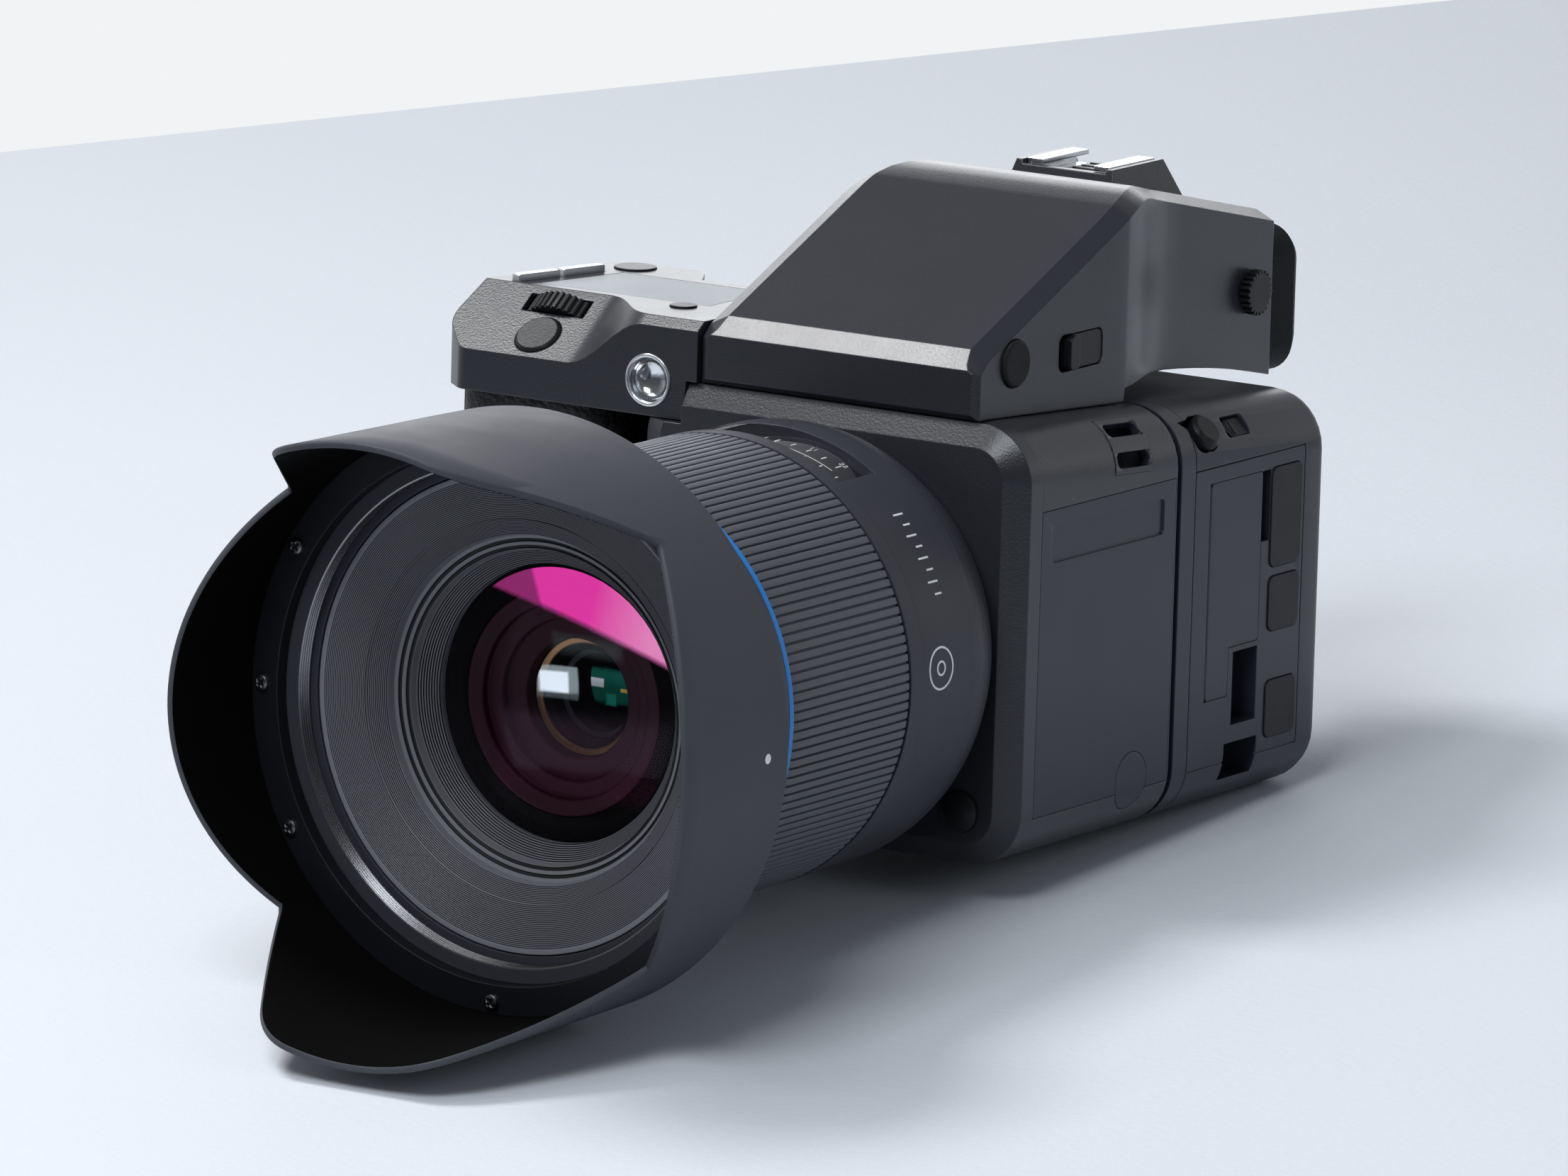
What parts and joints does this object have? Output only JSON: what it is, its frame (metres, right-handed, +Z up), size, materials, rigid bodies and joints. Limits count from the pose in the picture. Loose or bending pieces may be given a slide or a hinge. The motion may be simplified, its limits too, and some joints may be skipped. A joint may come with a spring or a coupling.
{
  "type": "medium format digital camera",
  "caption": "Modular medium format reflex camera with digital back, prism finder, side grip and wide lens under a petal hood.",
  "frame": {"origin": "centre of the tripod socket's mouth, in the base plane", "axes": "-Y along the lens axis towards the subject, +Z up through the finder, +X to the side with the ports"},
  "size_m": [0.1674, 0.335, 0.1546],
  "materials": {
    "black_metal": "fine matte paint",
    "slate_panel": "satin paint",
    "lens_black": "satin anodised",
    "dark_plastic": "matte",
    "black_rubber": "matte",
    "bright_metal": "brushed",
    "steel": "brushed",
    "silver_key": "satin",
    "mirror_glass": "polished",
    "clear_glass": "polished",
    "display_glass": "gloss",
    "pale_display": "gloss",
    "blue_trim": "satin"
  },
  "bodies": {
    "camera": {"front_casting": "black_metal", "body_shell": "black_metal", "side_panel": "slate_panel", "strap_lug": "black_metal", "side_cap": "slate_panel", "base_plate": "black_metal", "tripod_socket": "steel", "lens_mount_ring": "bright_metal", "focusing_screen": "clear_glass", "shutter_frame": "dark_plastic", "back_shell": "slate_panel", "port_covers": "black_rubber", "port_connectors": "steel", "image_sensor": "display_glass", "rear_display": "display_glass", "finder_housing": "black_metal", "finder_prism": "clear_glass", "eyepiece_lens": "clear_glass", "eyecup": "black_rubber", "hot_shoe_rails": "bright_metal", "hot_shoe_contacts": "dark_plastic", "sync_cap": "black_rubber", "grip_housing": "black_metal", "grip_handle": "black_rubber", "battery": "dark_plastic", "top_display": "pale_display", "focus_lamp": "clear_glass", "lens_rear_barrel": "lens_black", "lens_inner_barrel": "lens_black", "distance_window": "display_glass", "colour_ring": "blue_trim", "front_barrel": "lens_black", "baffle_ring": "lens_black", "front_element": "clear_glass", "inner_elements": "clear_glass", "iris_unit": "steel"},
    "lens_release": {"lens_release_button": "dark_plastic"},
    "mirror": {"reflex_mirror": "mirror_glass"},
    "upper_blade": {"shutter_blade_upper": "steel"},
    "lower_blade": {"shutter_blade_lower": "steel"},
    "card_hatch": {"card_door": "slate_panel"},
    "back_lock": {"back_lock_knob": "dark_plastic"},
    "back_slider": {"back_lock_slider": "dark_plastic"},
    "rear_key_1": {"rear_button_1": "dark_plastic"},
    "rear_key_2": {"rear_button_2": "dark_plastic"},
    "rear_key_3": {"rear_button_3": "dark_plastic"},
    "rear_key_4": {"rear_button_4": "dark_plastic"},
    "dioptre": {"dioptre_knob": "dark_plastic"},
    "finder_catch": {"finder_release": "dark_plastic"},
    "battery_hatch": {"battery_door": "dark_plastic"},
    "shutter_release": {"shutter_button": "dark_plastic"},
    "front_wheel": {"front_dial": "dark_plastic"},
    "rear_wheel": {"rear_dial": "dark_plastic"},
    "front_bar_key": {"bar_key_front": "silver_key"},
    "rear_bar_key": {"bar_key_rear": "silver_key"},
    "top_button": {"round_button": "dark_plastic"},
    "light_button": {"small_button": "dark_plastic"},
    "focus": {"focus_ring": "lens_black"},
    "lens_hood": {"hood": "lens_black", "hood_ring": "lens_black"}
  },
  "joints": [
    {"name": "lens_release_press", "type": "slide", "parent": "camera", "child": "lens_release", "axis": [0, 1, 0], "range_m": [0, 0.0018], "stiffness_N_per_m": 600},
    {"name": "mirror_swing", "type": "hinge", "parent": "camera", "child": "mirror", "pos_m": [0, 0.0205, 0.067], "axis": [-1, 0, 0], "range_deg": [0, 45]},
    {"name": "lower_blade_run", "type": "slide", "parent": "camera", "child": "lower_blade", "axis": [0, 0, 1], "range_m": [0, 0.041]},
    {"name": "upper_blade_run", "type": "slide", "parent": "camera", "child": "upper_blade", "axis": [0, 0, 1], "range_m": [0, 0.0205]},
    {"name": "card_hatch_swing", "type": "hinge", "parent": "camera", "child": "card_hatch", "pos_m": [0.0476, 0.0466, 0.05], "axis": [0, 0, -1], "range_deg": [0, 90]},
    {"name": "back_lock_slide", "type": "slide", "parent": "camera", "child": "back_lock", "axis": [0, -1, 0], "range_m": [0, 0.0024], "stiffness_N_per_m": 400},
    {"name": "back_slider_move", "type": "slide", "parent": "camera", "child": "back_slider", "axis": [0, -1, 0], "range_m": [0, 0.002]},
    {"name": "rear_key_1_press", "type": "slide", "parent": "camera", "child": "rear_key_1", "axis": [0, -1, 0], "range_m": [0, 0.0008], "stiffness_N_per_m": 800},
    {"name": "rear_key_2_press", "type": "slide", "parent": "camera", "child": "rear_key_2", "axis": [0, -1, 0], "range_m": [0, 0.0008], "stiffness_N_per_m": 800},
    {"name": "rear_key_3_press", "type": "slide", "parent": "camera", "child": "rear_key_3", "axis": [0, -1, 0], "range_m": [0, 0.0008], "stiffness_N_per_m": 800},
    {"name": "rear_key_4_press", "type": "slide", "parent": "camera", "child": "rear_key_4", "axis": [0, -1, 0], "range_m": [0, 0.0008], "stiffness_N_per_m": 800},
    {"name": "dioptre_turn", "type": "hinge", "parent": "camera", "child": "dioptre", "pos_m": [0.024, 0.1022, 0.1045], "axis": [1, 0, 0], "range_deg": [-140, 140]},
    {"name": "finder_catch_slide", "type": "slide", "parent": "camera", "child": "finder_catch", "axis": [0, -1, 0], "range_m": [0, 0.0026], "stiffness_N_per_m": 400},
    {"name": "battery_hatch_swing", "type": "hinge", "parent": "camera", "child": "battery_hatch", "pos_m": [-0.083, 0.0157, 0.0035], "axis": [1, 0, 0], "range_deg": [0, 90]},
    {"name": "shutter_release_press", "type": "slide", "parent": "camera", "child": "shutter_release", "axis": [0, 0.6039, -0.7971], "range_m": [0, 0.0012], "stiffness_N_per_m": 500},
    {"name": "front_wheel_turn", "type": "hinge", "parent": "camera", "child": "front_wheel", "pos_m": [-0.08, -0.01086, 0.0982], "axis": [0, 0.7971, 0.6039], "continuous": true},
    {"name": "rear_wheel_turn", "type": "hinge", "parent": "camera", "child": "rear_wheel", "pos_m": [-0.082, 0.02, 0.095], "axis": [0, 0, 1], "continuous": true},
    {"name": "front_bar_key_press", "type": "slide", "parent": "camera", "child": "front_bar_key", "axis": [0, 0, -1], "range_m": [0, 0.0008], "stiffness_N_per_m": 800},
    {"name": "rear_bar_key_press", "type": "slide", "parent": "camera", "child": "rear_bar_key", "axis": [0, 0, -1], "range_m": [0, 0.0008], "stiffness_N_per_m": 800},
    {"name": "top_button_press", "type": "slide", "parent": "camera", "child": "top_button", "axis": [0, 0, -1], "range_m": [0, 0.0008], "stiffness_N_per_m": 800},
    {"name": "light_button_press", "type": "slide", "parent": "camera", "child": "light_button", "axis": [0, 0, -1], "range_m": [0, 0.0008], "stiffness_N_per_m": 800},
    {"name": "focus_turn", "type": "hinge", "parent": "camera", "child": "focus", "pos_m": [0, -0.09, 0.0454], "axis": [0, -1, 0], "range_deg": [-60, 60]},
    {"name": "hood_turn", "type": "hinge", "parent": "camera", "child": "lens_hood", "pos_m": [0, -0.15, 0.0454], "axis": [0, -1, 0], "range_deg": [0, 40]}
  ],
  "couplings": [
    {"joint": "upper_blade_run", "follows": "lower_blade_run", "ratio": 0.5}
  ]
}
